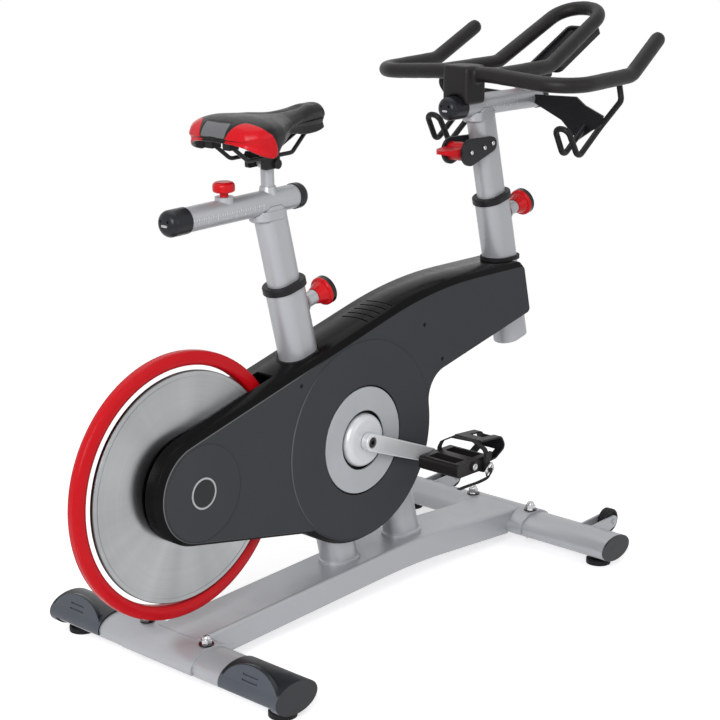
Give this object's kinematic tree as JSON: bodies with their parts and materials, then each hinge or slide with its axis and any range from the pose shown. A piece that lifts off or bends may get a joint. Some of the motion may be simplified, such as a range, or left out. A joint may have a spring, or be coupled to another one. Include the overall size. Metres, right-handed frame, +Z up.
{
  "type": "indoor spin bike",
  "caption": "Indoor spin bike with a rear flywheel in a hoop guard, covered belt drive, sliding saddle and handlebar posts, toe-cage pedals and a pull-up resistance lever.",
  "frame": {"origin": "on the floor, under the middle of the bounding box", "axes": "+X forward, +Y the rider's left, +Z up"},
  "size_m": [1.3059, 0.545, 1.022],
  "materials": {
    "frame_paint": "satin silver-grey",
    "nut_chrome": "polished",
    "cover_plastic": "moulded slate grey",
    "inner_paint": "satin black",
    "bearing_steel": "ground",
    "collar_plastic": "moulded black",
    "gasket_rubber": "matt black",
    "ring_plastic": "satin grey",
    "badge_plastic": "satin light grey",
    "screw_steel": "blackened",
    "guard_red": "gloss red",
    "belt_rubber": "matt",
    "cable_plastic": "sheathed",
    "disc_steel": "turned and brushed",
    "axle_steel": "turned",
    "caliper_steel": "zinc plated",
    "spindle_steel": "blackened",
    "pulley_plastic": "moulded",
    "hub_plastic": "silver satin dome",
    "crank_paint": "satin silver",
    "pedal_plastic": "moulded black",
    "cage_plastic": "moulded black",
    "strap_fabric": "woven black",
    "cap_plastic": "moulded black",
    "saddle_leather": "smooth black cover",
    "shell_plastic": "moulded black",
    "rail_paint": "satin black",
    "bracket_plastic": "moulded black",
    "lever_red": "gloss red",
    "bar_rubber": "dipped soft black",
    "stem_rubber": "moulded soft black",
    "tray_plastic": "moulded black",
    "holder_plastic": "coated rod, black",
    "knob_red": "gloss red",
    "shroud_plastic": "satin charcoal",
    "wheel_rubber": "dark grey",
    "foot_rubber": "matt black"
  },
  "bodies": {
    "frame": {"base_beam": "frame_paint", "rear_stabiliser": "frame_paint", "front_stabiliser": "frame_paint", "stabiliser_brackets": "frame_paint", "acorn_nuts": "nut_chrome", "end_covers": "cover_plastic", "seat_tube": "frame_paint", "head_tube": "frame_paint", "front_strut": "frame_paint", "inner_frame": "inner_paint", "bearings": "bearing_steel", "tube_collars": "collar_plastic", "tube_gaskets": "gasket_rubber", "shroud_right": "shroud_plastic", "shroud_left": "shroud_plastic", "crank_rings": "ring_plastic", "side_badges": "badge_plastic", "shroud_screws": "screw_steel", "flywheel_guard": "guard_red", "drive_belt": "belt_rubber", "brake_cable": "cable_plastic"},
    "flywheel": {"flywheel_disc": "disc_steel", "flywheel_axle": "axle_steel"},
    "crank": {"crank_spindle": "spindle_steel", "crank_pulley": "pulley_plastic", "crank_arm_right": "crank_paint", "crank_arm_left": "crank_paint", "hub_covers": "hub_plastic"},
    "pedal_right": {"pedal_right": "pedal_plastic", "toe_cage_right": "cage_plastic", "toe_strap_right": "strap_fabric"},
    "pedal_left": {"pedal_left": "pedal_plastic", "toe_cage_left": "cage_plastic", "toe_strap_left": "strap_fabric"},
    "seat_post": {"seat_post": "frame_paint"},
    "seat_slider": {"seat_slider_tube": "frame_paint", "seat_slider_caps": "cap_plastic"},
    "saddle": {"saddle_cushion": "saddle_leather", "saddle_base": "shell_plastic", "saddle_rails": "rail_paint"},
    "bar_post": {"handlebar_post": "frame_paint", "lever_bracket": "bracket_plastic"},
    "handlebar": {"bar_slider_tube": "frame_paint", "bar_slider_caps": "cap_plastic", "handlebar": "bar_rubber", "stem_block": "stem_rubber", "console_tray": "tray_plastic", "bottle_holders": "holder_plastic"},
    "brake_lever": {"brake_lever": "lever_red"},
    "brake_yoke": {"magnet_caliper": "caliper_steel"},
    "seat_height_knob": {"seat_height_knob": "knob_red"},
    "head_height_knob": {"head_height_knob": "knob_red"},
    "saddle_fore_knob": {"saddle_fore_knob": "knob_red"},
    "bar_fore_knob": {"bar_fore_knob": "knob_red"},
    "transport_wheel_right": {"transport_wheel_right": "wheel_rubber"},
    "foot_rear_right": {"foot_rear_right": "foot_rubber"},
    "foot_front_right": {"foot_front_right": "foot_rubber"},
    "transport_wheel_left": {"transport_wheel_left": "wheel_rubber"},
    "foot_rear_left": {"foot_rear_left": "foot_rubber"},
    "foot_front_left": {"foot_front_left": "foot_rubber"}
  },
  "joints": [
    {"name": "flywheel_spin", "type": "hinge", "parent": "frame", "child": "flywheel", "pos_m": [-0.433, 0, 0.314], "axis": [0, 1, 0], "continuous": true},
    {"name": "crank_spin", "type": "hinge", "parent": "frame", "child": "crank", "pos_m": [-0.059, 0, 0.314], "axis": [0, 1, 0], "continuous": true},
    {"name": "pedal_right_spin", "type": "hinge", "parent": "crank", "child": "pedal_right", "pos_m": [0.09971, -0.131, 0.25308], "axis": [0, 1, 0], "continuous": true},
    {"name": "pedal_left_spin", "type": "hinge", "parent": "crank", "child": "pedal_left", "pos_m": [-0.21771, 0.131, 0.37492], "axis": [0, 1, 0], "continuous": true},
    {"name": "seat_height", "type": "slide", "parent": "frame", "child": "seat_post", "axis": [-0.2453, 0, 0.9694], "range_m": [-0.098, 0.14]},
    {"name": "saddle_fore_aft", "type": "slide", "parent": "seat_post", "child": "seat_slider", "axis": [0.9995, 0, 0.0314], "range_m": [-0.005, 0.129]},
    {"name": "saddle_tilt", "type": "hinge", "parent": "seat_slider", "child": "saddle", "pos_m": [-0.22707, 0, 0.80903], "axis": [0, 1, 0], "range_deg": [-8, 8]},
    {"name": "bar_height", "type": "slide", "parent": "frame", "child": "bar_post", "axis": [-0.2317, 0, 0.9728], "range_m": [-0.075, 0.15]},
    {"name": "bar_fore_aft", "type": "slide", "parent": "bar_post", "child": "handlebar", "axis": [1, 0, 0], "range_m": [-0.104, 0.003]},
    {"name": "brake_lever_turn", "type": "hinge", "parent": "bar_post", "child": "brake_lever", "pos_m": [0.26465, 0, 0.773], "axis": [0, 1, 0], "range_deg": [-30, 30]},
    {"name": "brake_yoke_turn", "type": "hinge", "parent": "frame", "child": "brake_yoke", "pos_m": [-0.219, 0, 0.366], "axis": [0, 1, 0], "range_deg": [-6, 6]},
    {"name": "seat_height_knob_pull", "type": "slide", "parent": "frame", "child": "seat_height_knob", "axis": [0.9694, 0, 0.2453], "range_m": [0, 0.009], "stiffness_N_per_m": 500},
    {"name": "head_height_knob_pull", "type": "slide", "parent": "frame", "child": "head_height_knob", "axis": [0.9728, 0, 0.2317], "range_m": [0, 0.009], "stiffness_N_per_m": 500},
    {"name": "saddle_fore_knob_pull", "type": "slide", "parent": "seat_slider", "child": "saddle_fore_knob", "axis": [-0.0314, 0, 0.9995], "range_m": [0, 0.008], "stiffness_N_per_m": 500},
    {"name": "bar_fore_knob_pull", "type": "slide", "parent": "handlebar", "child": "bar_fore_knob", "axis": [0, 0, 1], "range_m": [0, 0.008], "stiffness_N_per_m": 500},
    {"name": "transport_wheel_right_spin", "type": "hinge", "parent": "frame", "child": "transport_wheel_right", "pos_m": [0.492, -0.195, 0.053], "axis": [0, 1, 0], "continuous": true},
    {"name": "foot_rear_right_turn", "type": "hinge", "parent": "frame", "child": "foot_rear_right", "pos_m": [-0.448, -0.242, 0], "axis": [0, 0, 1], "continuous": true},
    {"name": "foot_front_right_turn", "type": "hinge", "parent": "frame", "child": "foot_front_right", "pos_m": [0.409, -0.233, 0], "axis": [0, 0, 1], "continuous": true},
    {"name": "transport_wheel_left_spin", "type": "hinge", "parent": "frame", "child": "transport_wheel_left", "pos_m": [0.492, 0.195, 0.053], "axis": [0, 1, 0], "continuous": true},
    {"name": "foot_rear_left_turn", "type": "hinge", "parent": "frame", "child": "foot_rear_left", "pos_m": [-0.448, 0.242, 0], "axis": [0, 0, 1], "continuous": true},
    {"name": "foot_front_left_turn", "type": "hinge", "parent": "frame", "child": "foot_front_left", "pos_m": [0.409, 0.233, 0], "axis": [0, 0, 1], "continuous": true}
  ],
  "couplings": [
    {"joint": "crank_spin", "follows": "flywheel_spin", "ratio": 0.125},
    {"joint": "brake_yoke_turn", "follows": "brake_lever_turn", "ratio": 0.2}
  ]
}
